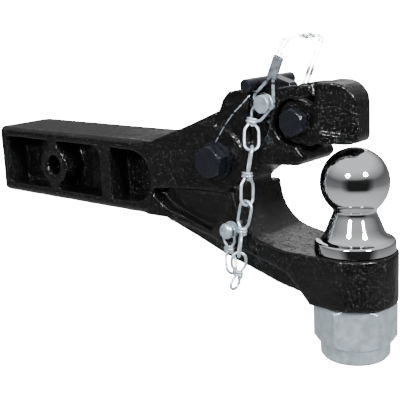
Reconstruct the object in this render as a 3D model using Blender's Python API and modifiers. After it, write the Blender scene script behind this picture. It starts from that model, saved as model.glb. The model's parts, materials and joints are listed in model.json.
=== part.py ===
"""Receiver-mount combination hitch: pintle hook with a pivoting jaw, and a tow ball.

Blender works in metres with +Z up. Sizes below are millimetres, turned to metres
by the shape functions. +X runs along the shank towards the ball, the origin is the
centre of the hitch pin hole, and the safety pin is drawn out towards -Y.
"""
from math import atan2, cos, pi, radians, sin

import bmesh
import bpy
from mathutils import Matrix, Vector

MM = 0.001
GAP = 0.3                     # clearance between pieces that touch
ROUND = 36                    # facets of a large round
SMALL_ROUND = 20              # facets of a small round

# Receiver shank
SHANK_SIDE = 63.5
SHANK_BACK = -76.5
SHANK_FRONT = 128.0
SHANK_RIM = 9.0               # wall above and below the pockets
SHANK_WEB = 9.0               # half thickness left between the pockets
PIN_BORE = 8.75
PIN_BORE_CHAMFER = 1.6
PIN_BOSS = 18.0
HALF = SHANK_SIDE / 2

# Head and arm half widths
SPINE_HALF = 20.0
ARM_HALF = 22.0
SEAT_HALF = 15.5
SADDLE_HALF = 32.0
WEB_HALF = 24.0

# Ball, boss and nut
BALL = (302.5, 10.2)          # X and Z of the ball's centre
BALL_RADIUS = 25.4
NECK_RADIUS = 16.0
FLANGE_RADIUS = 30.0
FLANGE_TOP = -33.0
BOSS_TOP = -41.0
BOSS_BOTTOM = -79.5
BOSS_RADIUS = 32.0
STEM_RADIUS = 15.9
STEM_END = -121.5
NUT_CORNER = 31.4
NUT_HEX_BOTTOM = -110.5
NUT_BOTTOM = -123.5
COLLAR_RADIUS = 26.3
INSERT_RADIUS = 21.6
INSERT_TOP = -112.3
INSERT_BOTTOM = -122.0
NUT_TURN = 31.3               # degrees from +X to a corner

# Jaw and its pivot
JAW_PIVOT = (264.0, 53.8)
JAW_HUB = 16.4
JAW_HALF = 17.0
EAR_INNER = 11.3
TAIL_HALF = 5.0
TAIL_HUB = 9.5
TOOTH_RADIUS = 20.0
TOOTH_ANGLE = 118.0
NOSE_FRONT = 311.0
NOSE_TIP_HALF = 9.0
JAW_BOLT_RADIUS = 6.35
JAW_BOLT_CORNER = 11.0

# Lock lever and its pivot
LOCK_PIVOT = (191.5, 20.0)
LOCK_BOLT_RADIUS = 7.94
LOCK_BOLT_CORNER = 13.75
LOCK_HUB = 15.0
LEVER_HALF = 5.0
SLOT_HALF = LEVER_HALF + 0.35
HANDLE = (227.3, 80.2)
HANDLE_RADIUS = 5.0
HANDLE_HALF = 30.0

# Safety pin and its wire bail
PIN = (239.6, 66.7)
PIN_RADIUS = 4.25
PIN_TIP = 20.5
PIN_HEAD_RADIUS = 6.8
PIN_HEAD_INNER = -22.6
PIN_HEAD_OUTER = -27.5
BAIL_LEAN = 24.0              # degrees from upright towards the ball
BAIL_NEAR = -24.3
BAIL_FAR = 25.0
BAIL_HEIGHT = 52.0
BAIL_WIRE = 1.25
BAIL_PAIR = 1.65              # half spacing of the two parallel wires

# Chain
CHAIN_WIRE = 1.15
LOOP_HALF = 5.4
KNOT_HALF = 1.9
SCREW = (212.0, -31.0)
CHAIN_JOINT = (233.8, -31.5, 34.2)
SCREW_HEAD_RADIUS = 6.2

PARTS = "combination_pintle_hitch"
CUTTERS = "cutters"


# ---------------------------------------------------------------- shape helpers

def collection(name):
    """Return the named collection, made on first use."""
    found = bpy.data.collections.get(name)
    if found is None:
        found = bpy.data.collections.new(name)
        bpy.context.scene.collection.children.link(found)
    return found


def material(name, color, metallic, roughness):
    """Return a Principled material with the given base values."""
    found = bpy.data.materials.get(name)
    if found is None:
        found = bpy.data.materials.new(name)
        found.use_nodes = True
        shader = found.node_tree.nodes["Principled BSDF"]
        shader.inputs["Base Color"].default_value = (*color, 1.0)
        shader.inputs["Metallic"].default_value = metallic
        shader.inputs["Roughness"].default_value = roughness
    return found


def arc(center, radius, start, end, steps):
    """Points along an arc, with angles in degrees from +X towards +Z."""
    points = []
    for step in range(steps + 1):
        angle = radians(start + (end - start) * step / steps)
        points.append((center[0] + radius * cos(angle), center[1] + radius * sin(angle)))
    return points


def polar(center, radius, angle):
    """One point at a radius and an angle in degrees about a centre."""
    return arc(center, radius, angle, angle, 1)[0]


def link_mesh(name, mesh):
    """Put a mesh in the scene as an object."""
    made = bpy.data.objects.new(name, mesh)
    collection(PARTS).objects.link(made)
    return made


def curve_to_mesh(guide, name):
    """Turn a curve object into a closed mesh object and remove the curve."""
    collection(PARTS).objects.link(guide)
    bpy.context.view_layer.update()
    seen = guide.evaluated_get(bpy.context.evaluated_depsgraph_get())
    mesh = bpy.data.meshes.new_from_object(seen)
    mesh.transform(guide.matrix_world)
    shape = bmesh.new()
    shape.from_mesh(mesh)
    bmesh.ops.remove_doubles(shape, verts=shape.verts, dist=0.000001)
    bmesh.ops.recalc_face_normals(shape, faces=shape.faces)
    shape.to_mesh(mesh)
    shape.free()
    mesh.name = name
    bpy.data.objects.remove(guide)
    return link_mesh(name, mesh)


def prism(name, outline, near, far):
    """Extrude a closed XZ outline from Y = near to Y = far."""
    curve = bpy.data.curves.new(name, "CURVE")
    curve.dimensions = "2D"
    curve.fill_mode = "BOTH"
    curve.extrude = abs(far - near) / 2 * MM
    spline = curve.splines.new("POLY")
    spline.points.add(len(outline) - 1)
    for point, (x, z) in zip(spline.points, outline):
        point.co = (x * MM, z * MM, 0.0, 1.0)
    spline.use_cyclic_u = True
    guide = bpy.data.objects.new(name + "_outline", curve)
    guide.rotation_euler = (pi / 2, 0.0, 0.0)
    guide.location = (0.0, (near + far) / 2 * MM, 0.0)
    return curve_to_mesh(guide, name)


def plan_prism(name, outline, low, high):
    """Extrude a closed XY outline from Z = low to Z = high."""
    made = prism(name, outline, -high, -low)
    made.data.transform(Matrix.Rotation(-pi / 2, 4, "X"))
    return made


def cylinder(name, radius, start, end, facets=SMALL_ROUND, turn=0.0, end_radius=None):
    """A cylinder, cone or hexagonal bar between two points, one corner at turn degrees."""
    first = Vector(start) * MM
    last = Vector(end) * MM
    top = radius if end_radius is None else end_radius
    along = last - first
    aim = Vector((0.0, 0.0, 1.0)).rotation_difference(along).to_matrix().to_4x4()
    spin = Matrix.Rotation(radians(turn - 90.0), 4, "Z")
    shape = bmesh.new()
    bmesh.ops.create_cone(
        shape, cap_ends=True, segments=facets, radius1=radius * MM,
        radius2=top * MM, depth=along.length,
        matrix=Matrix.Translation((first + last) / 2) @ aim @ spin)
    mesh = bpy.data.meshes.new(name)
    shape.to_mesh(mesh)
    shape.free()
    return link_mesh(name, mesh)


def turned(name, profile, facets, foot=(0.0, 0.0, 0.0), tilt=0.0):
    """Turn a profile of (radius, height) points about Z, then tilt it about X.

    A Screw modifier needs the outer side to run from top to bottom.
    """
    mesh = bpy.data.meshes.new(name)
    downward = profile if profile[0][1] >= profile[-1][1] else profile[::-1]
    points = [(radius * MM, 0.0, height * MM) for radius, height in downward]
    edges = [(i, i + 1) for i in range(len(points) - 1)]
    if profile[0][0] > 0.0:
        edges.append((len(points) - 1, 0))
    mesh.from_pydata(points, edges, [])
    made = link_mesh(name, mesh)
    made.location = Vector(foot) * MM
    made.rotation_euler = (radians(tilt), 0.0, 0.0)
    screw = made.modifiers.new("turn", "SCREW")
    screw.axis = "Z"
    screw.steps = facets
    screw.render_steps = facets
    screw.use_merge_vertices = True
    screw.merge_threshold = 0.000001
    return made


def tube(name, points, radius, closed=False, resolution=2):
    """A round wire through a list of points."""
    curve = bpy.data.curves.new(name, "CURVE")
    curve.dimensions = "3D"
    curve.bevel_depth = radius * MM
    curve.bevel_resolution = resolution
    curve.use_fill_caps = True
    spline = curve.splines.new("POLY")
    spline.points.add(len(points) - 1)
    for point, place in zip(spline.points, points):
        point.co = (place[0] * MM, place[1] * MM, place[2] * MM, 1.0)
    spline.use_cyclic_u = closed
    return curve_to_mesh(bpy.data.objects.new(name + "_wire", curve), name)


def combine(target, others, operation="DIFFERENCE"):
    """Join or cut a target with a group of meshes, which become hidden cutters."""
    group = bpy.data.collections.new(f"{target.name}_{operation.lower()}")
    collection(CUTTERS).children.link(group)
    for other in others:
        collection(PARTS).objects.unlink(other)
        group.objects.link(other)
        other.hide_render = True
        other.display_type = "WIRE"
    step = target.modifiers.new(group.name, "BOOLEAN")
    step.operation = operation
    step.solver = "EXACT"
    step.operand_type = "COLLECTION"
    step.collection = group
    return target


def finish(target, look, origin=None):
    """Give a piece its material, smooth rounds and an origin on its joint."""
    target.data.materials.clear()
    target.data.materials.append(look)
    target.data.shade_smooth()
    target.data.set_sharp_from_angle(angle=radians(35))
    if origin is not None:
        place = Vector(origin) * MM
        target.data.transform(Matrix.Translation(-place))
        target.location = place
    return target


def black_paint(name):
    return material(name + "_black_paint", (0.012, 0.012, 0.013), 0.0, 0.28)


def zinc(name):
    return material(name + "_zinc", (0.56, 0.60, 0.64), 1.0, 0.32)


# ------------------------------------------------------------------- hitch body

def shank_pockets():
    """The three lightening pockets of each shank side, leaving a middle web."""
    top = HALF - SHANK_RIM
    back_pocket = [(-66.5, -top), (-6.0, -top), (-6.0, top), (-66.5, top)]
    corner = arc((53.0, top - 11.0), 11.0, 0, 90, 6)
    middle_pocket = [(6.0, -top), (64.0, -top)] + corner + [(6.0, top)]
    front_curve = arc((103.5, 0.0), 22.0, -90, 90, 14)
    front_pocket = [(77.0, -top)] + front_curve + [(77.0, top)]
    cutters = []
    for side, name in ((-1, "near"), (1, "far")):
        depth = (side * SHANK_WEB, side * (HALF + 5))
        for outline, label in ((back_pocket, "back"), (middle_pocket, "middle")):
            pocket = prism(f"{label}_pocket_{name}", outline, min(depth), max(depth))
            boss = cylinder(f"{label}_boss_{name}", PIN_BOSS, (0, -60, 0), (0, 60, 0), ROUND)
            combine(pocket, [boss])
            cutters.append(pocket)
        cutters.append(prism(f"front_pocket_{name}", front_pocket, min(depth), max(depth)))
    return cutters


def hitch_pin_bore():
    """The cross hole for the receiver's pin, chamfered at both mouths."""
    reach = HALF + 1
    mouth = PIN_BORE + PIN_BORE_CHAMFER + 1
    profile = [(0, reach), (mouth, reach), (PIN_BORE, HALF - PIN_BORE_CHAMFER),
               (PIN_BORE, -HALF + PIN_BORE_CHAMFER), (mouth, -reach), (0, -reach)]
    return turned("hitch_pin_bore", profile, ROUND, tilt=90)


def shank_block():
    """The square bar that slides into the receiver tube, with broken edges."""
    chamfer = 3.5
    outline = [(-HALF + chamfer, -HALF), (HALF - chamfer, -HALF), (HALF, -HALF + chamfer),
               (HALF, HALF - chamfer), (HALF - chamfer, HALF), (-HALF + chamfer, HALF),
               (-HALF, HALF - chamfer), (-HALF, -HALF + chamfer)]
    bar = prism("hitch_body", outline, -SHANK_FRONT, -SHANK_BACK)
    bar.data.transform(Matrix.Rotation(pi / 2, 4, "Z"))
    return bar


def head_spine():
    """The middle of the head: neck slope, hump, throat back and lower beam."""
    hump = [(193.0, 59.0), (197.0, 68.0), (203.0, 74.0), (212.0, 75.8), (222.0, 74.5)]
    throat = [(222.0, 15.0), (214.0, 12.0), (214.0, -12.0), (220.0, -26.0), (236.0, -38.0)]
    beam = [(272.0, -42.0), (272.0, -60.0), (222.0, -54.0), (170.0, -40.0), (140.0, -31.0)]
    outline = [(120.0, 31.75), (128.0, 31.75)] + hump + throat + beam + [(120.0, -31.0)]
    return prism("head_spine", outline, -SPINE_HALF, SPINE_HALF)


def neck_taper():
    """The upper neck, which narrows from the shank's width to the arm's."""
    side = [(118.0, -8.0), (186.0, -5.5), (189.0, 20.0), (190.0, 57.0), (128.0, 31.7), (118.0, 31.7)]
    block = prism("neck_taper", side, -HALF, HALF)
    plan = [(110.0, -HALF), (134.0, -HALF), (176.0, -ARM_HALF), (200.0, -ARM_HALF),
            (200.0, ARM_HALF), (176.0, ARM_HALF), (134.0, HALF), (110.0, HALF)]
    return combine(block, [plan_prism("neck_plan", plan, -60, 90)], "INTERSECT")


def lower_flange():
    """The flange that runs under the recessed neck and widens to the saddle."""
    upper = [(118.0, -8.0), (124.0, -11.0), (143.0, -24.0), (162.0, -30.0), (186.0, -37.0)]
    horn = [(196.0, -26.0), (203.0, -4.0), (206.0, -1.5), (213.0, -1.5)]
    throat = arc((249.0, -4.5), 34.5, 178, 262, 9)
    front = [(258.0, -41.3), (BALL[0], -41.3), (BALL[0], -79.2), (282.0, -79.2), (272.0, -67.6),
             (262.0, -58.0)]
    lower = [(240.0, -51.5), (221.0, -47.0), (200.0, -44.5), (170.0, -38.0), (140.0, -31.5)]
    outline = upper + horn + throat + front + lower + [(118.0, -31.7)]
    block = prism("lower_flange", outline, -SADDLE_HALF, SADDLE_HALF)
    plan = [(110.0, -HALF), (134.0, -HALF), (160.0, -28.0), (186.0, -28.5), (200.0, -SADDLE_HALF),
            (310.0, -SADDLE_HALF), (310.0, SADDLE_HALF), (200.0, SADDLE_HALF), (186.0, 28.5),
            (160.0, 28.0), (134.0, HALF), (110.0, HALF)]
    return combine(block, [plan_prism("flange_plan", plan, -100, 60)], "INTERSECT")


def belly_web():
    """The narrower web under the flange, down to the ball boss."""
    outline = [(132.0, -30.0), (136.0, -35.0), (171.0, -46.3), (200.0, -56.8), (218.0, -61.2),
               (251.0, -70.8), (268.0, -73.8), (290.0, -74.5), (290.0, -50.0), (200.0, -40.0)]
    return prism("belly_web", outline, -WEB_HALF, WEB_HALF)


def arm_plate():
    """The raised cheeks of the arm, round at the lock pivot, open at the jaw."""
    lock_round = arc(LOCK_PIVOT, 26.0, 25, 318, 22)
    lower = [(235.0, 20.0), (243.0, 21.2), (267.0, 21.8), (271.5, 26.0), (271.5, 50.0)]
    upper = [(279.5, 50.0), (279.5, 81.2), (262.0, 80.3), (250.5, 78.5)]
    shoulder = [(245.0, 72.0), (243.5, 50.0), (238.0, 41.0), (228.0, 36.0)]
    return prism("arm_plate", lock_round + lower + upper + shoulder, -ARM_HALF, ARM_HALF)


def pin_cheeks():
    """The thinner part of the arm that the safety pin passes through."""
    outline = [(216.0, 14.5), (236.0, 20.5), (262.0, 22.0), (262.0, 74.0), (216.0, 74.5)]
    return prism("pin_cheeks", outline, -SEAT_HALF, SEAT_HALF)


def jaw_clearance():
    """The space the jaw swings through, with the C-shaped window in each cheek."""
    swing = [polar(JAW_PIVOT, 38.0, 111), (302.0, 92.0), (302.0, 30.0), (272.5, 30.0), (268.0, 34.0)]
    swing += arc(JAW_PIVOT, JAW_HUB + 0.1, -82, 111, 20)
    cutters = [prism("jaw_swing", swing, -JAW_HALF - GAP, JAW_HALF + GAP)]
    window_radius = JAW_HUB + 0.8
    window = arc(JAW_PIVOT, window_radius, 75, 277, 20)
    window += [(271.5, 30.0), (274.0, 26.0), (302.0, 26.0), (302.0, 76.0), (279.5, 73.5)]
    for side, name in ((-1, "near"), (1, "far")):
        ear = cylinder(f"ear_space_{name}", window_radius,
                       (JAW_PIVOT[0], side * (EAR_INNER - GAP), JAW_PIVOT[1]),
                       (JAW_PIVOT[0], side * (JAW_HALF + GAP), JAW_PIVOT[1]), ROUND)
        ends = (side * JAW_HALF, side * (ARM_HALF + 8))
        cutters += [ear, prism(f"cheek_window_{name}", window, min(ends), max(ends))]
    return cutters


def lever_slot():
    """The slot in the middle of the head for the lock lever and the jaw's tail."""
    back = [(175.0, 26.0), (186.0, 92.0), (302.0, 92.0), (302.0, 34.0)]
    floor = [(273.0, 34.0), (263.0, 42.5), (250.0, 42.5), (243.0, 44.0), (205.0, 11.0)]
    swept = prism("lever_slot", back + floor, -SLOT_HALF, SLOT_HALF)
    hub = cylinder("lever_hub_space", LOCK_HUB + 1.2, (LOCK_PIVOT[0], -SLOT_HALF, LOCK_PIVOT[1]),
                   (LOCK_PIVOT[0], SLOT_HALF, LOCK_PIVOT[1]), ROUND)
    return [swept, hub]


def cross_hole(name, center, radius, near=-60, far=60):
    """A hole along Y."""
    return cylinder(name, radius, (center[0], near, center[1]), (center[0], far, center[1]), ROUND)


def hitch_body():
    """The cast body: shank, neck, arm, throat, saddle and ball boss in one piece."""
    body = shank_block()
    boss = cylinder("ball_boss", BOSS_RADIUS, (BALL[0], 0, BOSS_BOTTOM), (BALL[0], 0, BOSS_TOP), ROUND)
    joined = [head_spine(), neck_taper(), lower_flange(), belly_web(), arm_plate(), pin_cheeks(), boss]
    combine(body, joined, "UNION")
    cutters = shank_pockets() + [hitch_pin_bore()] + jaw_clearance() + lever_slot()
    cutters.append(cross_hole("jaw_bolt_hole", JAW_PIVOT, JAW_BOLT_RADIUS + GAP))
    cutters.append(cross_hole("lock_bolt_hole", LOCK_PIVOT, LOCK_BOLT_RADIUS + GAP))
    cutters.append(cross_hole("safety_pin_hole", PIN, PIN_RADIUS + GAP))
    for side, name in ((-1, "near"), (1, "far")):
        cutters.append(cross_hole(f"pin_head_relief_{name}", PIN, PIN_HEAD_RADIUS + 1.6,
                                  side * SEAT_HALF, side * 40))
    bail_notch = [(236.0, 70.5), (249.5, 70.5), (253.0, 84.0), (236.0, 84.0)]
    cutters.append(prism("bail_notch", bail_notch, SEAT_HALF, 40.0))
    cutters.append(cylinder("stem_hole", STEM_RADIUS + GAP, (BALL[0], 0, -90), (BALL[0], 0, -30), ROUND))
    cutters.append(cross_hole("screw_hole", SCREW, 2.8, -SADDLE_HALF - 4, -SADDLE_HALF + 14))
    combine(body, cutters)
    finish(body, black_paint("casting"))


# -------------------------------------------------------------- ball and its nut

def tow_ball():
    """Ball, neck, flange and stem turned from one bar."""
    neck_angle = 52.0
    sphere = [(BALL_RADIUS * cos(radians(a)), BALL[1] + BALL_RADIUS * sin(radians(a)))
              for a in range(81, -int(neck_angle), -9)]
    flat = [(0.0, BALL[1] + BALL_RADIUS - 0.15)]
    neck = [(NECK_RADIUS + 0.4, -9.5), (NECK_RADIUS, -11.5)]
    flare = [(NECK_RADIUS + 1.1, -14.5), (NECK_RADIUS + 3.2, -20.0), (NECK_RADIUS + 5.6, -26.0),
             (NECK_RADIUS + 7.9, -29.8), (NECK_RADIUS + 10.4, -32.0)]
    flange = [(FLANGE_RADIUS - 1, FLANGE_TOP), (FLANGE_RADIUS, FLANGE_TOP - 1),
              (FLANGE_RADIUS, BOSS_TOP + 1 + GAP), (FLANGE_RADIUS - 1, BOSS_TOP + GAP)]
    stem = [(STEM_RADIUS, BOSS_TOP + GAP), (STEM_RADIUS, STEM_END + 1.5),
            (STEM_RADIUS - 1.5, STEM_END), (0.0, STEM_END)]
    profile = flat + sphere + neck + flare + flange + stem
    ball = turned("tow_ball", profile, ROUND, (BALL[0], 0, 0))
    finish(ball, material("ball_chrome", (0.78, 0.78, 0.79), 1.0, 0.06))


def ball_nut():
    """The lock nut: a hexagon with a round collar that holds a nylon ring."""
    top = BOSS_BOTTOM - GAP
    bevel = 3.0
    nut = cylinder("ball_nut", NUT_CORNER, (BALL[0], 0, NUT_HEX_BOTTOM), (BALL[0], 0, top), 6, NUT_TURN)
    flats = NUT_CORNER * cos(pi / 6)
    barrel = [(0, top + 1), (flats + 0.5, top + 1), (flats + 0.5, top), (NUT_CORNER + 0.3, top - bevel),
              (NUT_CORNER + 0.3, NUT_HEX_BOTTOM + bevel), (flats + 0.5, NUT_HEX_BOTTOM),
              (flats + 0.5, NUT_HEX_BOTTOM - 1), (0, NUT_HEX_BOTTOM - 1)]
    combine(nut, [turned("nut_bevel", barrel, ROUND, (BALL[0], 0, 0))], "INTERSECT")
    collar = [(0, NUT_HEX_BOTTOM + 2), (COLLAR_RADIUS, NUT_HEX_BOTTOM + 2),
              (COLLAR_RADIUS, NUT_BOTTOM + 3), (COLLAR_RADIUS - 2.5, NUT_BOTTOM), (0, NUT_BOTTOM)]
    combine(nut, [turned("nut_collar", collar, ROUND, (BALL[0], 0, 0))], "UNION")
    bore = [(0, -70), (STEM_RADIUS + GAP, -70), (STEM_RADIUS + GAP, INSERT_TOP + GAP),
            (INSERT_RADIUS + GAP, INSERT_TOP + GAP), (INSERT_RADIUS + GAP, INSERT_BOTTOM - GAP),
            (INSERT_RADIUS - 2, INSERT_BOTTOM - GAP), (INSERT_RADIUS - 2, -130), (0, -130)]
    combine(nut, [turned("nut_bore", bore, ROUND, (BALL[0], 0, 0))])
    finish(nut, zinc("ball_nut"))


def nut_insert():
    """The nylon ring that grips the thread."""
    ring = [(INSERT_RADIUS, INSERT_TOP), (INSERT_RADIUS, INSERT_BOTTOM), (STEM_RADIUS + GAP, INSERT_BOTTOM),
            (STEM_RADIUS + GAP, INSERT_TOP)]
    made = turned("nut_nylon_insert", ring, ROUND, (BALL[0], 0, 0))
    finish(made, material("insert_nylon", (0.10, 0.18, 0.42), 0.0, 0.5))


# ------------------------------------------------------------------------- jaw

def upper_jaw():
    """The nose that closes over the ball, with two ears and a toothed tail."""
    bottom = [polar(JAW_PIVOT, JAW_HUB, -78), (275.0, 36.4), (279.0, 38.6)]
    front = arc((303.5, 46.1), 7.5, -90, 0, 5) + arc((291.5, 63.1), 19.5, 0, 90, 8)
    top = [(281.0, 82.6), (280.0, 81.8), (280.0, 70.0)]
    side = bottom + front + top + arc(JAW_PIVOT, JAW_HUB, 48, 270, 20)
    jaw = prism("upper_jaw", side, -JAW_HALF, JAW_HALF)
    plan_half = [(240.0, -JAW_HALF), (283.0, -JAW_HALF), (NOSE_FRONT - 3, -NOSE_TIP_HALF - 1.6),
                 (NOSE_FRONT, -NOSE_TIP_HALF + 1.5)]
    plan = plan_half + [(x, -y) for x, y in reversed(plan_half)]
    combine(jaw, [plan_prism("jaw_plan", plan, 20, 100)], "INTERSECT")
    cutters = []
    back = [(240.0, 30.0), (JAW_PIVOT[0], 30.0), (JAW_PIVOT[0], 80.0), (240.0, 80.0)]
    tail_room = prism("tail_room", back, -EAR_INNER, EAR_INNER)
    cutters.append(tail_room)
    cutters.append(cross_hole("knuckle_room", JAW_PIVOT, JAW_HUB + 0.5, -EAR_INNER, EAR_INNER))
    combine(jaw, cutters)
    tooth = arc(JAW_PIVOT, TOOTH_RADIUS, 40, TOOTH_ANGLE, 8) + [polar(JAW_PIVOT, TAIL_HUB - 1, TOOTH_ANGLE)]
    tooth += arc(JAW_PIVOT, TAIL_HUB, 130, 300, 14) + [(275.0, 40.0), (282.0, 50.0)]
    combine(jaw, [prism("jaw_tail", tooth, -TAIL_HALF, TAIL_HALF)], "UNION")
    combine(jaw, [cross_hole("jaw_bore", JAW_PIVOT, JAW_BOLT_RADIUS + GAP)] + nose_panels())
    finish(jaw, black_paint("jaw"), (JAW_PIVOT[0], 0, JAW_PIVOT[1]))


def nose_panels():
    """A shallow sunk panel on each tapered side of the nose."""
    depth = 2.0
    slope = atan2(JAW_HALF - NOSE_TIP_HALF - 1.6, NOSE_FRONT - 3 - 283.0)
    outline = [(1.0, 47.0), (17.0, 45.0)] + arc((14.0, 62.0), 9.0, -40, 70, 6) + [(6.0, 74.0), (1.0, 71.0)]
    panels = []
    for side, name in ((-1, "near"), (1, "far")):
        ends = (side * -depth, side * 8.0)
        panel = prism(f"nose_panel_{name}", outline, min(ends), max(ends))
        panel.data.transform(Matrix.Rotation(-side * slope, 4, "Z"))
        panel.location = (283.0 * MM, side * JAW_HALF * MM, 0.0)
        panels.append(panel)
    return panels


# ------------------------------------------------------------------------ bolts

def hex_head(name, center, corner, seat, top, turn):
    """A hexagon along Y with the corners of its outer face turned off."""
    head = cylinder(name, corner, (center[0], seat, center[1]), (center[0], top, center[1]), 6, turn)
    outward = 1 if top > seat else -1
    flats = corner * cos(pi / 6)
    barrel = [(0, top + outward), (flats - 0.6, top + outward), (flats - 0.1, top),
              (corner + 0.2, top - outward * 2.0), (corner + 0.2, seat - outward), (0, seat - outward)]
    heights = [(radius, -height) for radius, height in barrel]
    trim = turned(name + "_bevel", heights, SMALL_ROUND, (center[0], 0, center[1]), 90)
    return combine(head, [trim], "INTERSECT")


def bolt(name, center, radius, corner, seat, head_top, end, turn):
    """A hexagon bolt along Y whose head sits on the near side."""
    made = hex_head(name, center, corner, seat, head_top, turn)
    profile = [(0, -seat + 1), (radius, -seat + 1), (radius, -end + 1), (radius - 1, -end), (0, -end)]
    shank = turned(name + "_shank", profile, SMALL_ROUND, (center[0], 0, center[1]), 90)
    combine(made, [shank], "UNION")
    return finish(made, black_paint(name))


def hex_nut(name, center, radius, corner, seat, top, turn):
    """A hexagon nut along Y on the far side."""
    made = hex_head(name, center, corner, seat, top, turn)
    combine(made, [cross_hole(name + "_bore", center, radius + GAP)])
    return finish(made, zinc(name))


def washer(name, center, bore, radius, near, far, look):
    """A flat washer along Y."""
    made = cylinder(name, radius, (center[0], near, center[1]), (center[0], far, center[1]), ROUND)
    combine(made, [cross_hole(name + "_bore", center, bore)])
    return finish(made, look)


def pivot_hardware():
    """Both pivot bolts with their washers and nuts."""
    face = ARM_HALF + GAP
    bolt("lock_pivot_bolt", LOCK_PIVOT, LOCK_BOLT_RADIUS, LOCK_BOLT_CORNER, -face - 2.8, -face - 12.8, 41, 20)
    for name, near, far in (("lock_pivot_washer_near", -face - 2.5, -face),
                            ("lock_pivot_washer_far", face, face + 2.5)):
        washer(name, LOCK_PIVOT, LOCK_BOLT_RADIUS + GAP, 15.5, near, far, black_paint(name))
    hex_nut("lock_pivot_nut", LOCK_PIVOT, LOCK_BOLT_RADIUS, LOCK_BOLT_CORNER, face + 2.8, face + 16.0, 10)
    ear = JAW_HALF + GAP
    bolt("jaw_pivot_bolt", JAW_PIVOT, JAW_BOLT_RADIUS, JAW_BOLT_CORNER, -ear, -ear - 8.0, 34, 30)
    washer("jaw_pivot_washer", JAW_PIVOT, JAW_BOLT_RADIUS + GAP, 13.5, ear, ear + 2.2, zinc("jaw_pivot_washer"))
    hex_nut("jaw_pivot_nut", JAW_PIVOT, JAW_BOLT_RADIUS, JAW_BOLT_CORNER, ear + 2.5, ear + 13.4, 0)


# ------------------------------------------------------------------------- lock

def lock_lever():
    """The plate that swings in the slot and stands behind the jaw's tooth."""
    edge = [(14, -25), (58, 28.5), (70, 29), (72.6, 31), (77, 35), (81.2, 40), (84, 46), (78, 57), (62, 67),
            (14, 115)]
    lever = prism("lock_lever", [polar(LOCK_PIVOT, r, a) for r, a in edge], -LEVER_HALF, LEVER_HALF)
    hub = cross_hole("lever_hub", LOCK_PIVOT, LOCK_HUB, -LEVER_HALF, LEVER_HALF)
    combine(lever, [hub], "UNION")
    reach = PIN[0] - LOCK_PIVOT[0]
    rise = PIN[1] - LOCK_PIVOT[1]
    radius = (reach ** 2 + rise ** 2) ** 0.5
    rest = atan2(rise, reach) * 180 / pi
    room = PIN_RADIUS + 0.4
    lowered = rest - 8.5
    far_end = polar(LOCK_PIVOT, radius, lowered)
    slot = arc(LOCK_PIVOT, radius + room, rest, lowered, 5) + arc(far_end, room, lowered, lowered - 180, 8)[1:]
    slot += arc(LOCK_PIVOT, radius - room, lowered, rest, 5)[1:] + arc(PIN, room, rest + 180, rest, 8)[1:-1]
    spring_room = cross_hole("spring_room", LOCK_PIVOT, 13.6, 0.6, 20)
    opening = [(150.0, LOCK_PIVOT[1] - 13.6), LOCK_PIVOT, (LOCK_PIVOT[0], LOCK_PIVOT[1] + 13.6), (150.0, 60.0)]
    cutters = [prism("lever_pin_slot", slot, -20, 20), spring_room, prism("spring_leg_room", opening, 0.6, 20),
               cross_hole("lever_bore", LOCK_PIVOT, LOCK_BOLT_RADIUS + GAP),
               cross_hole("handle_bore", HANDLE, HANDLE_RADIUS + GAP)]
    combine(lever, cutters)
    finish(lever, black_paint("lever"), (LOCK_PIVOT[0], 0, LOCK_PIVOT[1]))


def handle_bar():
    """The cross bar of the T handle, with rounded ends."""
    end = HANDLE_HALF
    profile = [(0, end), (HANDLE_RADIUS - 1.2, end), (HANDLE_RADIUS, end - 1.2),
               (HANDLE_RADIUS, -end + 1.2), (HANDLE_RADIUS - 1.2, -end), (0, -end)]
    bar = turned("lock_handle_bar", profile, SMALL_ROUND, (HANDLE[0], 0, HANDLE[1]), 90)
    finish(bar, black_paint("handle"))


def lock_spring():
    """The torsion spring round the lock bolt, with one leg up the slot."""
    coil = 10.9
    wire = 0.8
    points = []
    steps = 44
    turns = 2.0
    for step in range(steps + 1):
        angle = radians(180 - 360 * turns * step / steps)
        across = 1.6 + 2.1 * step / steps
        points.append((LOCK_PIVOT[0] + coil * cos(angle), across, LOCK_PIVOT[1] + coil * sin(angle)))
    leg = [(LOCK_PIVOT[0] - coil - 2.4, 1.55, 38.0), (LOCK_PIVOT[0] - coil - 1.6, 1.55, 30.0),
           (LOCK_PIVOT[0] - coil - 0.4, 1.55, 24.0)]
    finish(tube("lock_spring", leg + points, wire), zinc("lock_spring"))


# ------------------------------------------------------------ safety pin and bail

def safety_pin():
    """The pin that passes through both cheeks and the lock lever."""
    tip = [(0, PIN_TIP), (PIN_RADIUS - 1.5, PIN_TIP), (PIN_RADIUS, PIN_TIP - 2.5), (PIN_RADIUS, PIN_HEAD_INNER)]
    head = [(PIN_HEAD_RADIUS - 0.9, PIN_HEAD_INNER), (PIN_HEAD_RADIUS, PIN_HEAD_INNER - 0.9),
            (PIN_HEAD_RADIUS, PIN_HEAD_OUTER + 0.8), (PIN_HEAD_RADIUS - 0.8, PIN_HEAD_OUTER), (0, PIN_HEAD_OUTER)]
    profile = [(radius, -along) for radius, along in tip + head]
    pin = turned("safety_pin", profile, 32, (PIN[0], 0, PIN[1]), 90)
    lean = radians(BAIL_LEAN)
    across = Vector((cos(lean), 0.0, -sin(lean))) * (PIN_HEAD_RADIUS + 2)
    middle = Vector((PIN[0], BAIL_NEAR, PIN[1]))
    hole = cylinder("bail_hole", BAIL_WIRE + GAP, middle - across, middle + across)
    combine(pin, [hole])
    finish(pin, zinc("pin"))


def bail_point(across, along, up):
    """A point in the bail's leaning frame: across the pin, along Y, and up."""
    lean = radians(BAIL_LEAN)
    return (PIN[0] + across * cos(lean) + up * sin(lean), along, PIN[1] - across * sin(lean) + up * cos(lean))


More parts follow.
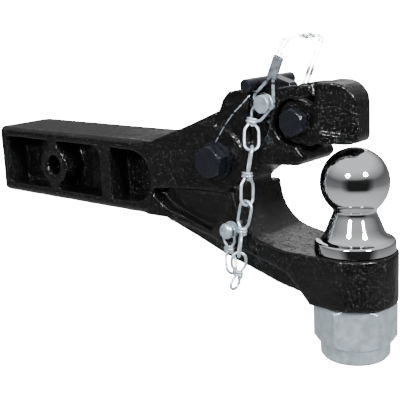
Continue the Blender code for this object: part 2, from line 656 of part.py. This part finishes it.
def bail_half(side):
    """One wire of the bail, from its end in the pin's head to the far foot."""
    bend = 7.0
    route = [(4.3, BAIL_NEAR, 0.0), (7.6, BAIL_NEAR, 0.0), (8.7, BAIL_NEAR, 0.5), (9.2, BAIL_NEAR, 1.8),
             (9.0, BAIL_NEAR, 4.0), (2.4, BAIL_NEAR, 18.5), (BAIL_PAIR, BAIL_NEAR, 21.0)]
    for step in range(6):
        angle = radians(180 - 18 * step)
        route.append((BAIL_PAIR, BAIL_NEAR + bend + bend * cos(angle), BAIL_HEIGHT - bend + bend * sin(angle)))
    for step in range(6):
        angle = radians(90 - 18 * step)
        route.append((BAIL_PAIR, BAIL_FAR - bend + bend * cos(angle), BAIL_HEIGHT - bend + bend * sin(angle)))
    route.append((BAIL_PAIR, BAIL_FAR, -1.0))
    return [bail_point(side * across, along, up) for across, along, up in route]


def bail():
    """The doubled wire bail and the crimped sleeve on its near leg."""
    foot = [bail_point(BAIL_PAIR * cos(radians(a)), BAIL_FAR, -1.0 - BAIL_PAIR * sin(radians(a)))
            for a in (30, 60, 90, 120, 150)]
    points = bail_half(1) + foot + list(reversed(bail_half(-1)))
    wire = tube("pin_bail_wire", points, BAIL_WIRE)
    finish(wire, zinc("bail"), (PIN[0], BAIL_NEAR, PIN[1]))
    sleeve = ferrule_shell("bail_ferrule", 1.35)
    combine(sleeve, [ferrule_shell("ferrule_hole", GAP, 2.0)])
    finish(sleeve, material("ferrule_steel", (0.25, 0.29, 0.34), 1.0, 0.4))


def ferrule_shell(name, wall, extra=0.0):
    """A flattened tube round both wires of the near leg."""
    radius = BAIL_WIRE + wall
    outline = arc((BAIL_PAIR, 0.0), radius, -90, 90, 8) + arc((-BAIL_PAIR, 0.0), radius, 90, 270, 8)
    made = plan_prism(name, outline, 21.8 - extra, 37.5 + extra)
    made.data.transform(Matrix.Rotation(radians(BAIL_LEAN), 4, "Y"))
    made.data.transform(Matrix.Translation(Vector((PIN[0], BAIL_NEAR, PIN[1])) * MM))
    return made


# ------------------------------------------------------------------------ chain

def half_loop(far_end, knot, side, half_width):
    """One teardrop loop of a link, from one side of its knot to the other."""
    start = Vector(knot)
    along = Vector(far_end) - start
    length = along.length
    along.normalize()
    side = (Vector(side) - along * along.dot(Vector(side))).normalized()
    points = [start + along * 1.2 + side * KNOT_HALF, start + along * 3.2 + side * (KNOT_HALF + 1.0),
              start + along * 6.0 + side * (half_width - 0.4)]
    for step in range(9):
        angle = radians(180 * step / 8)
        reach = length - half_width + half_width * sin(angle)
        points.append(start + along * reach + side * (half_width * cos(angle)))
    points.append(start + along * 6.0 - side * (half_width - 0.4))
    points.append(start + along * 3.2 - side * (KNOT_HALF + 1.0))
    points.append(start + along * 1.2 - side * KNOT_HALF)
    return points


def double_loop_link(name, top, knot, bottom, upper_side, lower_side, origin=None, top_half=LOOP_HALF):
    """A link of one wire: two loops that meet in a quarter twist."""
    upper = half_loop(top, knot, upper_side, top_half)
    lower = half_loop(bottom, knot, lower_side, LOOP_HALF)
    link = tube(name, upper + [Vector(point) for point in reversed(lower)], CHAIN_WIRE, closed=True)
    finish(link, zinc("chain"), origin)


def chain():
    """The keeper chain from the safety pin down to its screw on the saddle."""
    facing = (0.75, 0.66, 0.0)
    edgewise = (0.66, -0.75, 0.0)
    upright = (1.0, 0.0, 0.0)
    across = (0.0, 1.0, 0.0)
    slanting = (0.32, 0.95, 0.0)
    screw_joint = (SCREW[0], -35.2, SCREW[1])
    double_loop_link("chain_link_1", (243.2, -19.6, 71.0), (227.6, -23.0, 52.9), (233.8, -32.1, 32.8),
                     upright, facing, top_half=6.0)
    double_loop_link("chain_link_2", (233.7, -31.1, 35.8), (230.5, -34.0, 13.7), (231.8, -37.3, -8.4),
                     edgewise, slanting, CHAIN_JOINT)
    double_loop_link("chain_link_3", (231.7, -37.0, -5.3), (227.7, -39.5, -28.2), (225.9, -42.0, -48.2),
                     upright, edgewise, CHAIN_JOINT)
    double_loop_link("chain_link_4", (226.6, -41.8, -45.1), (225.2, -43.0, -61.8), (222.6, -45.8, -74.0),
                     facing, across, CHAIN_JOINT)
    double_loop_link("chain_link_5", (212.1, -35.2, -26.8), (211.6, -35.6, -46.2), (217.8, -41.0, -63.5),
                     upright, across, screw_joint)


def tie_wire():
    """The loose tail of thin wire that is twisted on the chain's top link."""
    route = [(227.9, -24.0, 72.8), (226.4, -25.4, 70.8), (222.6, -27.2, 66.4), (216.0, -29.6, 59.6),
             (208.4, -31.6, 49.8), (203.2, -32.8, 41.4), (200.4, -33.4, 36.6)]
    finish(tube("tie_wire", route, 0.45, resolution=1), zinc("tie"))


def chain_screw():
    """The pan-head screw and washer that hold the chain on the saddle."""
    face = SADDLE_HALF + GAP
    seat = face + 5.4
    thread = [(0, -SADDLE_HALF + 12), (2.4, -SADDLE_HALF + 12), (2.4, -seat)]
    head = [(SCREW_HEAD_RADIUS, -seat), (SCREW_HEAD_RADIUS, -seat - 2.2), (SCREW_HEAD_RADIUS - 1.0, -seat - 3.6),
            (2.6, -seat - 4.2), (2.2, -seat - 2.4), (0, -seat - 2.4)]
    profile = [(radius, -along) for radius, along in thread + head]
    screw = turned("chain_screw", profile, 28, (SCREW[0], 0, SCREW[1]), 90)
    finish(screw, zinc("screw"))
    washer("chain_screw_washer", SCREW, 2.4 + GAP, 6.6, -face - 0.8, -face, zinc("screw_washer"))


def build():
    """Clear the scene and model every piece."""
    for found in list(bpy.data.objects):
        bpy.data.objects.remove(found)
    hitch_body()
    tow_ball()
    ball_nut()
    nut_insert()
    upper_jaw()
    pivot_hardware()
    lock_lever()
    handle_bar()
    lock_spring()
    safety_pin()
    bail()
    chain()
    tie_wire()
    chain_screw()


build()
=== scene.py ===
"""Looks of the combination hitch: cast black paint, mirror chrome, zinc plate and a studio.

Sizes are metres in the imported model's frame: +X towards the ball, +Z up, and the
safety pin is drawn towards -Y.
"""
import json
from math import cos, pi, radians, sin

import bmesh
import bpy
from mathutils import Matrix, Vector

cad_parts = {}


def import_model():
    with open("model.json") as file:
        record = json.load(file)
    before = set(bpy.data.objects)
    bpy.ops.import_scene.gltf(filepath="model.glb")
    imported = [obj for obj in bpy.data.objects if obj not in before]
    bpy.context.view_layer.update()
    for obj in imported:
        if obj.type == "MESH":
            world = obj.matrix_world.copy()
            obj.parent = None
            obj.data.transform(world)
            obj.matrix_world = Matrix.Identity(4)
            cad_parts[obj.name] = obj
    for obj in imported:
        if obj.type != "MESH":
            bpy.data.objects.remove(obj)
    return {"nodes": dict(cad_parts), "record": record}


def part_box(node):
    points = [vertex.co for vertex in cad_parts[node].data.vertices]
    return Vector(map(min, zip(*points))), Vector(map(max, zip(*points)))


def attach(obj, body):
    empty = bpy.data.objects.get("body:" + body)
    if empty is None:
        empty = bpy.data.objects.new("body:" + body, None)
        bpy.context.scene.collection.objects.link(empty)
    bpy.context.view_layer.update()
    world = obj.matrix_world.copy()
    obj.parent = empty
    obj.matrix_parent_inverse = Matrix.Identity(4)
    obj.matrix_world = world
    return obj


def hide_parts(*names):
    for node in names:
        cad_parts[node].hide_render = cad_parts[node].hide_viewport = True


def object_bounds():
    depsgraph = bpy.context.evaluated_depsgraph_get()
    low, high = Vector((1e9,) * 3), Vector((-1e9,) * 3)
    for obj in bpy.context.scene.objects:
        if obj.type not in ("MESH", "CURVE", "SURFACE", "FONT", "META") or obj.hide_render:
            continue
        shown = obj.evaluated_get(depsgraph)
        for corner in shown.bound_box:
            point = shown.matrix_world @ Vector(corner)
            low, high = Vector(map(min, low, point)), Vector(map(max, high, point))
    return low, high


MM = 0.001

# Camera
AZIMUTH = 41.53               # degrees round the object
ELEVATION = 13.24             # degrees above the horizon
ROLL = -2.68                  # degrees the camera leans
DISTANCE = 0.7275
LENS = 77.4                   # millimetres on a 36 mm wide sensor
SHANK_TO_TARGET = 0.2285      # from the shank's back end to the point looked at
TARGET_HEIGHT = -0.0216

# Studio: how bright the white behind is, and the surround's shade from straight down
# to straight up, at the dark end where the photographer stands and at the sides
WHITE = 30.0
DARK_END = [(0.0, 0.85), (0.24, 0.70), (0.35, 0.02), (0.62, 0.02), (0.70, 0.45), (0.86, 0.9)]
SIDES = [(0.0, 0.85), (0.30, 0.60), (0.42, 0.22), (0.58, 0.14), (0.70, 0.45), (0.86, 0.9)]

# Tow ball and its turned neck and flange, as (radius, height) in millimetres
BALL_RADIUS = 25.4
NECK = [(16.4, -9.6), (16.05, -10.6), (16.0, -11.5), (16.2, -12.6), (17.1, -14.9), (18.2, -17.6),
        (19.3, -20.2), (20.4, -23.0), (21.6, -25.8), (22.8, -28.2), (24.2, -30.1), (25.6, -31.4),
        (27.0, -32.1)]
FLANGE = [(28.4, -32.3), (29.3, -32.7), (29.9, -33.6), (30.0, -34.3), (30.0, -40.0), (29.4, -40.6),
          (15.9, -40.7)]

# Chain, in millimetres: each link's top, knot and bottom, the way its upper and its
# lower loop spread, and the half width of its upper loop
CHAIN_WIRE = 1.15
LOOP_HALF = 5.4
WAIST_HALF = 1.9
KNOT_TURNS = 2.1
KNOT_STEPS = 34
KNOT_RADIUS = 3.3
KNOT_PITCH = 2.2
FACING = (0.75, 0.66, 0.0)
EDGEWISE = (0.66, -0.75, 0.0)
SLANTING = (0.32, 0.95, 0.0)
UPRIGHT = (1.0, 0.0, 0.0)
ACROSS = (0.0, 1.0, 0.0)
LINKS = {
    "chain_link_1": ((243.2, -19.6, 71.0), (227.6, -23.0, 52.9), (233.8, -32.1, 32.8),
                     UPRIGHT, FACING, 6.0),
    "chain_link_2": ((233.7, -31.1, 35.8), (230.5, -34.0, 13.7), (231.8, -37.3, -8.4),
                     EDGEWISE, SLANTING, 5.4),
    "chain_link_3": ((231.7, -37.0, -5.3), (227.7, -39.5, -28.2), (225.9, -42.0, -48.2),
                     UPRIGHT, EDGEWISE, 5.4),
    "chain_link_4": ((226.6, -41.8, -45.1), (225.2, -43.0, -61.8), (222.6, -45.8, -74.0),
                     FACING, ACROSS, 5.4),
    "chain_link_5": ((212.1, -35.2, -26.8), (211.6, -35.6, -46.2), (217.8, -41.0, -63.5),
                     UPRIGHT, ACROSS, 5.4),
}

# Chain screw, in millimetres
SCREW_HEAD_THICKNESS = 4.2
SCREW_SHANK_RADIUS = 2.4
RECESS_LENGTH = 5.6
RECESS_WIDTH = 1.1
RECESS_DEPTH = 3.0
RECESS_TURN = 25              # degrees

# CAD nodes whose edges are rounded: remesh size in millimetres and rounds of smoothing
SOFTENED = {
    "hitch_body": (1.2, 5),
    "upper_jaw": (0.8, 4),
    "ball_nut": (0.4, 2),
    "lock_pivot_bolt": (0.3, 1),
    "jaw_pivot_bolt": (0.3, 1),
    "lock_pivot_nut": (0.3, 1),
    "jaw_pivot_nut": (0.3, 1),
    "lock_lever": (0.3, 1),
}
# Castings that keep a wavy skin: wave size and depth in millimetres
SAND_CAST = {"hitch_body": ("sand_mould", 7.0, 0.45), "upper_jaw": ("sand_mould_jaw", 6.0, 0.4)}
WIRES = ("pin_bail_wire", "lock_spring", "tie_wire")


# ------------------------------------------------------------------ node helpers

def new_material(name, color, metallic, roughness):
    """A material whose Principled shader has these plain values."""
    made = bpy.data.materials.new(name)
    made.use_nodes = True
    shader = made.node_tree.nodes["Principled BSDF"]
    shader.inputs["Base Color"].default_value = (*color, 1.0)
    shader.inputs["Metallic"].default_value = metallic
    shader.inputs["Roughness"].default_value = roughness
    return made, shader


def noise(tree, scale, detail=3.0, roughness=0.55, stretch=(1.0, 1.0, 1.0)):
    """Noise in object space, as features per metre."""
    place = tree.nodes.new("ShaderNodeTexCoord")
    fit = tree.nodes.new("ShaderNodeMapping")
    fit.inputs["Scale"].default_value = stretch
    texture = tree.nodes.new("ShaderNodeTexNoise")
    texture.inputs["Scale"].default_value = scale
    texture.inputs["Detail"].default_value = detail
    texture.inputs["Roughness"].default_value = roughness
    tree.links.new(place.outputs["Object"], fit.inputs["Vector"])
    tree.links.new(fit.outputs["Vector"], texture.inputs["Vector"])
    return texture.outputs["Fac"]


def ramp(tree, value, stops):
    """A colour ramp over a value. Each stop is (position, colour or grey)."""
    made = tree.nodes.new("ShaderNodeValToRGB")
    points = made.color_ramp.elements
    while len(points) < len(stops):
        points.new(0.5)
    for point, (position, shade) in zip(points, stops):
        point.position = position
        point.color = (*shade, 1.0) if isinstance(shade, tuple) else (shade, shade, shade, 1.0)
    tree.links.new(value, made.inputs["Fac"])
    return made.outputs["Color"]


def bump(tree, shader, height, distance, strength=1.0, below=None):
    """Bump a shader by a height map, on top of another bump if one is given."""
    made = tree.nodes.new("ShaderNodeBump")
    made.inputs["Distance"].default_value = distance
    made.inputs["Strength"].default_value = strength
    tree.links.new(height, made.inputs["Height"])
    if below is not None:
        tree.links.new(below, made.inputs["Normal"])
    tree.links.new(made.outputs["Normal"], shader.inputs["Normal"])
    return made.outputs["Normal"]


# ---------------------------------------------------------------------- materials

def black_casting():
    """Gloss black paint that fills and follows a sand-cast surface."""
    made, shader = new_material("cast_black_paint", (0.002, 0.002, 0.002), 0.0, 0.3)
    tree = made.node_tree
    shader.inputs["Specular IOR Level"].default_value = 0.3
    lumps = bump(tree, shader, noise(tree, 150.0, 3.0), 0.0006, 0.4)
    grain = ramp(tree, noise(tree, 620.0, 2.0, 0.6), [(0.56, 0.0), (0.74, 1.0)])
    bump(tree, shader, grain, 0.0005, 0.8, lumps)
    patches = noise(tree, 45.0, 5.0, 0.65)
    tree.links.new(ramp(tree, patches, [(0.35, 0.12), (0.7, 0.24)]), shader.inputs["Roughness"])
    tint = ramp(tree, patches, [(0.3, (0.0008, 0.0008, 0.0009)), (0.75, (0.0026, 0.0026, 0.0025))])
    tree.links.new(tint, shader.inputs["Base Color"])
    return made


def black_fastener():
    """Smooth gloss black coating on bolts, lever and handle."""
    made, shader = new_material("bolt_black", (0.006, 0.007, 0.010), 0.3, 0.22)
    tree = made.node_tree
    bump(tree, shader, noise(tree, 700.0, 3.0), 0.00012, 0.4)
    wear = noise(tree, 160.0, 4.0, 0.6)
    tree.links.new(ramp(tree, wear, [(0.4, 0.16), (0.7, 0.34)]), shader.inputs["Roughness"])
    return made


def ball_chrome():
    """Mirror chrome with faint polishing marks."""
    made, shader = new_material("mirror_chrome", (0.74, 0.75, 0.77), 1.0, 0.04)
    tree = made.node_tree
    haze = noise(tree, 60.0, 4.0, 0.6, (1.0, 1.0, 2.5))
    tree.links.new(ramp(tree, haze, [(0.45, 0.03), (0.8, 0.10)]), shader.inputs["Roughness"])
    bump(tree, shader, noise(tree, 45.0, 1.0), 0.00010, 0.25)
    return made


def zinc_plate(name="zinc_plate", bright=(0.56, 0.66, 0.73), dark=(0.40, 0.48, 0.53), scale=140.0):
    """Bluish zinc plate, clouded, with fine drawn lines."""
    made, shader = new_material(name, bright, 0.8, 0.3)
    tree = made.node_tree
    clouds = noise(tree, scale, 5.0, 0.6)
    tree.links.new(ramp(tree, clouds, [(0.35, dark), (0.65, bright)]), shader.inputs["Base Color"])
    tree.links.new(ramp(tree, clouds, [(0.3, 0.26), (0.75, 0.44)]), shader.inputs["Roughness"])
    bump(tree, shader, noise(tree, 1400.0, 2.0, 0.5, (1.0, 1.0, 0.3)), 0.00008, 0.5)
    return made


def blue_nylon():
    """Moulded nylon with a faint haze."""
    made, shader = new_material("blue_nylon", (0.08, 0.16, 0.42), 0.0, 0.45)
    tree = made.node_tree
    haze = noise(tree, 300.0, 3.0)
    tree.links.new(ramp(tree, haze, [(0.3, 0.38), (0.7, 0.55)]), shader.inputs["Roughness"])
    bump(tree, shader, haze, 0.0001, 0.4)
    return made


# --------------------------------------------------------------------- mesh tools

def new_piece(name, mesh, look, body):
    """Link a mesh as a piece with its material, body and material slot."""
    mesh.materials.clear()
    mesh.materials.append(look)
    piece = bpy.data.objects.new(name, mesh)
    bpy.context.scene.collection.objects.link(piece)
    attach(piece, body)
    return piece


def soften(node, voxel, rounds):
    """Round a CAD node's edges as casting or forging does, by remesh and smoothing."""
    remesh = node.modifiers.new("cast_skin", "REMESH")
    remesh.mode = "VOXEL"
    remesh.voxel_size = voxel
    remesh.use_smooth_shade = True
    smooth = node.modifiers.new("cast_fillets", "SMOOTH")
    smooth.factor = 0.5
    smooth.iterations = rounds


def roughen(node, name, size, depth):
    """Push a softened node's skin in and out a little, as a sand mould leaves it."""
    clouds = bpy.data.textures.new(name, "CLOUDS")
    clouds.noise_scale = size
    clouds.noise_depth = 2
    push = node.modifiers.new("cast_waves", "DISPLACE")
    push.texture = clouds
    push.strength = depth
    push.mid_level = 0.5


def round_wire(node, levels=1):
    """Make a CAD wire's facets round."""
    divide = node.modifiers.new("round_wire", "SUBSURF")
    divide.levels = levels
    divide.render_levels = levels


def lathe(name, profile, steps=128):
    """Turn a profile of (radius, height) points, from top to bottom, about Z."""
    shape = bmesh.new()
    rings = []
    for radius, height in profile:
        if radius == 0.0:
            rings.append([shape.verts.new((0.0, 0.0, height))])
            continue
        ring = []
        for step in range(steps):
            angle = 2 * pi * step / steps
            ring.append(shape.verts.new((radius * cos(angle), radius * sin(angle), height)))
        rings.append(ring)
    for upper, lower in zip(rings, rings[1:]):
        for step in range(steps):
            after = (step + 1) % steps
            corners = [upper[step % len(upper)], lower[step % len(lower)],
                       lower[after % len(lower)], upper[after % len(upper)]]
            unique = list(dict.fromkeys(corners))
            shape.faces.new(unique)
    bmesh.ops.recalc_face_normals(shape, faces=shape.faces)
    mesh = bpy.data.meshes.new(name)
    shape.to_mesh(mesh)
    shape.free()
    mesh.shade_smooth()
    mesh.set_sharp_from_angle(angle=radians(38))
    return mesh


def wire_mesh(name, points, radius, closed=False):
    """A round wire through points in metres, smoothly curved."""
    curve = bpy.data.curves.new(name, "CURVE")
    curve.dimensions = "3D"
    curve.bevel_depth = radius
    curve.bevel_resolution = 4
    curve.resolution_u = 5
    curve.use_fill_caps = True
    spline = curve.splines.new("NURBS")
    spline.points.add(len(points) - 1)
    for point, place in zip(spline.points, points):
        point.co = (*place, 1.0)
    spline.order_u = 3
    spline.use_cyclic_u = closed
    spline.use_endpoint_u = not closed
    guide = bpy.data.objects.new(name, curve)
    bpy.context.scene.collection.objects.link(guide)
    bpy.context.view_layer.update()
    mesh = bpy.data.meshes.new_from_object(guide.evaluated_get(bpy.context.evaluated_depsgraph_get()))
    bpy.data.objects.remove(guide)
    mesh.shade_smooth()
    return mesh


# -------------------------------------------------------------------------- pieces

def smooth_ball(look):
    """The tow ball with a finer round than the solid has."""
    low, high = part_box("tow_ball")
    center = (low[0] + high[0]) / 2
    radius = BALL_RADIUS * MM
    middle = high[2] - radius
    top = [(0.0, high[2] - 0.25 * MM), (2.9 * MM, high[2] - 0.22 * MM), (3.6 * MM, high[2] - 0.30 * MM)]
    sphere = []
    for step in range(50):
        angle = radians(81 - 2.6 * step)
        sphere.append((radius * cos(angle), middle + radius * sin(angle)))
    turned = [(across * MM, height * MM) for across, height in NECK + FLANGE]
    stem = [(15.9 * MM, low[2] + 1.5 * MM), (14.4 * MM, low[2]), (0.0, low[2])]
    mesh = lathe("polished_ball", top + sphere + turned + stem)
    mesh.transform(Matrix.Translation((center, 0.0, 0.0)))
    ball = new_piece("polished_ball", mesh, look, "hitch")
    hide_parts("tow_ball")


def half_loop(end, middle, spread, half_width):
    """Points in millimetres round one loop of a link, from one side of its waist to the other."""
    start = Vector(middle)
    along = Vector(end) - start
    length = along.length
    along.normalize()
    side = Vector(spread)
    side = (side - along * along.dot(side)).normalized()
    rise = [(1.2, WAIST_HALF), (3.2, WAIST_HALF + 1.0), (5.4, half_width - 0.7), (8.0, half_width)]
    points = [start + along * reach + side * width for reach, width in rise]
    for step in range(13):
        angle = pi * step / 12
        points.append(start + along * (length - half_width + half_width * sin(angle))
                      + side * (half_width * cos(angle)))
    points += [start + along * reach - side * width for reach, width in reversed(rise)]
    return points


def knot_coil(top, middle, bottom):
    """Points in millimetres of the wire's end, wrapped round a link's waist."""
    axis = (Vector(bottom) - Vector(top)).normalized()
    side = axis.cross(Vector((0.0, 1.0, 0.0))).normalized()
    front = axis.cross(side)
    coil = []
    for step in range(KNOT_STEPS + 1):
        part = step / KNOT_STEPS
        angle = 2 * pi * KNOT_TURNS * part
        radius = KNOT_RADIUS + 0.25 * sin(2 * angle)
        climb = (part - 0.5) * KNOT_TURNS * KNOT_PITCH
        coil.append(Vector(middle) + axis * climb + side * (1.15 * radius * cos(angle))
                    + front * (0.9 * radius * sin(angle)))
    coil.append(coil[-1] + (coil[-1] - coil[-2]) * 1.2 + side * 0.8)
    return coil


def chain_link(node, look, body):
    """A link of one bent wire, with each end wrapped round the waist as a knot."""
    top, middle, bottom, upper_spread, lower_spread, top_half = LINKS[node]
    loops = half_loop(top, middle, upper_spread, top_half)
    loops += reversed(half_loop(bottom, middle, lower_spread, LOOP_HALF))
    loops = [point * MM for point in loops]
    mesh = wire_mesh(node.replace("chain_", "wire_"), loops, CHAIN_WIRE * MM, True)
    link = new_piece(mesh.name, mesh, look, body)
    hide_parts(node)
    coil = [point * MM for point in knot_coil(top, middle, bottom)]
    mesh = wire_mesh(node.replace("link", "knot"), coil, 0.95 * CHAIN_WIRE * MM)
    new_piece(mesh.name, mesh, look, body)


def cross_screw(look):
    """The chain's pan-head screw, with a domed head and a cross recess."""
    low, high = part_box("chain_screw")
    head = (high[0] - low[0]) / 2
    thickness = SCREW_HEAD_THICKNESS * MM
    core = SCREW_SHANK_RADIUS * MM
    dome = [(0.0, 0.0), (1.6 * MM, -0.02 * MM), (2.6 * MM, -0.18 * MM), (head * 0.72, -0.7 * MM),
            (head * 0.9, -1.5 * MM), (head, -2.6 * MM), (head, -thickness), (core, -thickness)]
    shank = [(core, low[1] - high[1]), (0.0, low[1] - high[1])]
    mesh = lathe("screw_blank", dome + shank, 48)
    blank = bpy.data.objects.new("screw_blank", mesh)
    bpy.context.scene.collection.objects.link(blank)
    cutter_shape = bmesh.new()
    for across, along in ((RECESS_LENGTH, RECESS_WIDTH), (RECESS_WIDTH, RECESS_LENGTH)):
        size = Matrix.Diagonal((across * MM, along * MM, RECESS_DEPTH * MM, 1.0))
        bmesh.ops.create_cube(cutter_shape, size=1.0, matrix=size)
    cutter_mesh = bpy.data.meshes.new("cross_recess")
    cutter_shape.to_mesh(cutter_mesh)
    cutter_shape.free()
    cutter = bpy.data.objects.new("cross_recess", cutter_mesh)
    bpy.context.scene.collection.objects.link(cutter)
    cut = blank.modifiers.new("recess", "BOOLEAN")
    cut.object = cutter
    cut.solver = "EXACT"
    cut.use_self = True
    bpy.context.view_layer.update()
    done = bpy.data.meshes.new_from_object(blank.evaluated_get(bpy.context.evaluated_depsgraph_get()))
    bpy.data.objects.remove(blank)
    bpy.data.objects.remove(cutter)
    done.transform(Matrix.Rotation(pi / 2, 4, "X") @ Matrix.Rotation(radians(RECESS_TURN), 4, "Z"))
    done.transform(Matrix.Translation(((low[0] + high[0]) / 2, low[1], (low[2] + high[2]) / 2)))
    screw = new_piece("cross_head_screw", done, look, "hitch")
    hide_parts("chain_screw")


# --------------------------------------------------------------------------- studio

def studio(bounds):
    """A plain pale floor, which the camera sees and which throws no light back on the object."""
    middle = (Vector(bounds[0]) + Vector(bounds[1])) / 2
    floor_mesh = lathe("studio_floor", [(0.0, 0.0), (6.0, 0.0)], 64)
    look, shader = new_material("pale_floor", (0.93, 0.93, 0.93), 0.0, 0.9)
    tree = look.node_tree
    tree.links.new(ramp(tree, noise(tree, 3.0), [(0.3, 0.92), (0.7, 0.94)]), shader.inputs["Base Color"])
    shader.inputs["Emission Color"].default_value = (1.0, 1.0, 1.0, 1.0)
    shader.inputs["Emission Strength"].default_value = WHITE
    floor_mesh.materials.append(look)
    floor = bpy.data.objects.new("studio_floor", floor_mesh)
    floor.location = (middle.x, middle.y, bounds[0][2] - 0.0005)
    floor.visible_glossy = False
    floor.visible_diffuse = False
    bpy.context.scene.collection.objects.link(floor)


def lamp(name, azimuth, elevation, distance, size, power, shown=True):
    """A soft round lamp that looks at the object. One that isn't shown leaves no reflection."""
    middle = Vector((0.19, 0.0, 0.0))
    way = Vector((sin(radians(azimuth)) * cos(radians(elevation)),
                  -cos(radians(azimuth)) * cos(radians(elevation)), sin(radians(elevation))))
    data = bpy.data.lights.new(name, "AREA")
    data.shape = "DISK"
    data.size = size
    data.energy = power
    made = bpy.data.objects.new(name, data)
    made.location = middle + way * distance
    made.rotation_euler = way.to_track_quat("Z", "Y").to_euler()
    made.visible_glossy = shown
    bpy.context.scene.collection.objects.link(made)


def surround():
    """A surround that shows in reflections, with a dark end, and plain white to the eye."""
    world = bpy.data.worlds.new("studio")
    bpy.context.scene.world = world
    world.use_nodes = True
    tree = world.node_tree
    backdrop = tree.nodes["Background"]
    place = tree.nodes.new("ShaderNodeTexCoord")
    split = tree.nodes.new("ShaderNodeSeparateXYZ")
    tree.links.new(place.outputs["Generated"], split.inputs["Vector"])
    height = tree.nodes.new("ShaderNodeMapRange")
    height.inputs["From Min"].default_value = -1.0
    tree.links.new(split.outputs["Z"], height.inputs["Value"])
    facing = tree.nodes.new("ShaderNodeVectorMath")
    facing.operation = "DOT_PRODUCT"
    facing.inputs[1].default_value = (sin(radians(AZIMUTH)), -cos(radians(AZIMUTH)), 0.0)
    tree.links.new(place.outputs["Generated"], facing.inputs[0])
    shade = tree.nodes.new("ShaderNodeMix")
    shade.data_type = "RGBA"
    dark_share = ramp(tree, facing.outputs["Value"], [(0.55, 0.0), (0.85, 1.0)])
    tree.links.new(dark_share, shade.inputs["Factor"])
    tree.links.new(ramp(tree, height.outputs["Result"], SIDES), shade.inputs["A"])
    tree.links.new(ramp(tree, height.outputs["Result"], DARK_END), shade.inputs["B"])
    tree.links.new(shade.outputs["Result"], backdrop.inputs["Color"])
    backdrop.inputs["Strength"].default_value = 1.0
    plain = tree.nodes.new("ShaderNodeBackground")
    plain.inputs["Color"].default_value = (1.0, 1.0, 1.0, 1.0)
    plain.inputs["Strength"].default_value = WHITE
    path = tree.nodes.new("ShaderNodeLightPath")
    choose = tree.nodes.new("ShaderNodeMixShader")
    tree.links.new(path.outputs["Is Camera Ray"], choose.inputs["Fac"])
    tree.links.new(backdrop.outputs["Background"], choose.inputs[1])
    tree.links.new(plain.outputs["Background"], choose.inputs[2])
    tree.links.new(choose.outputs["Shader"], tree.nodes["World Output"].inputs["Surface"])


def lights():
    """Two round lamps near the camera, a low rim lamp behind, and lamps that only fill."""
    lamp("left_round", AZIMUTH - 31.0, 30.0, 1.6, 0.36, 46.0)
    lamp("right_round", AZIMUTH + 31.0, 30.0, 1.6, 0.36, 66.0)
    lamp("rim", AZIMUTH + 172.0, 30.0, 2.2, 1.5, 6.0)
    lamp("overhead", 10.0, 78.0, 1.6, 1.6, 14.0, shown=False)
    lamp("left_fill", AZIMUTH - 85.0, 18.0, 1.7, 1.0, 2.5, shown=False)


def camera():
    """The photograph's viewpoint."""
    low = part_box("hitch_body")[0]
    target = Vector((low[0] + SHANK_TO_TARGET, 0.0, TARGET_HEIGHT))
    azimuth = radians(AZIMUTH)
    elevation = radians(ELEVATION)
    roll = radians(ROLL)
    back = Vector((sin(azimuth) * cos(elevation), -cos(azimuth) * cos(elevation), sin(elevation)))
    level = Vector((cos(azimuth), sin(azimuth), 0.0))
    upright = back.cross(level)
    right = level * cos(roll) + upright * sin(roll)
    up = upright * cos(roll) - level * sin(roll)
    data = bpy.data.cameras.new("camera")
    data.lens = LENS
    data.sensor_width = 36.0
    data.clip_start = 0.01
    made = bpy.data.objects.new("camera", data)
    turn = Matrix((right, up, back)).transposed().to_4x4()
    made.matrix_world = Matrix.Translation(target + back * DISTANCE) @ turn
    bpy.context.scene.collection.objects.link(made)
    bpy.context.scene.camera = made


# ------------------------------------------------------------------------------ main

def dress_nodes(frame, looks):
    """Give every CAD node that stays its finish."""
    for entry in frame["record"]["subparts"]:
        node = frame["nodes"][entry["node"]]
        node.data.materials.clear()
        node.data.materials.append(looks[entry["material_slot"]])


def main():
    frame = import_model()
    cad_box = [list(corner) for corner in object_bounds()]
    looks = {
        "black_casting": black_casting(),
        "black_fastener": black_fastener(),
        "ball_chrome": ball_chrome(),
        "zinc_plate": zinc_plate(),
        "ferrule_steel": zinc_plate("ferrule_steel", (0.30, 0.35, 0.41), (0.17, 0.20, 0.24), 220.0),
        "blue_nylon": blue_nylon(),
    }
    dress_nodes(frame, looks)
    nodes = frame["nodes"]
    for name, (voxel, rounds) in SOFTENED.items():
        soften(nodes[name], voxel * MM, rounds)
    for name, (texture, size, depth) in SAND_CAST.items():
        roughen(nodes[name], texture, size * MM, depth * MM)
    for name in WIRES:
        round_wire(nodes[name])
    bodies = {}
    for body, names in frame["record"]["behaviour"]["bodies"].items():
        for name in names:
            bodies[name] = body
    for name in LINKS:
        chain_link(name, looks["zinc_plate"], bodies[name])
    smooth_ball(looks["ball_chrome"])
    cross_screw(looks["zinc_plate"])
    surround()
    studio(cad_box)
    lights()
    camera()


main()
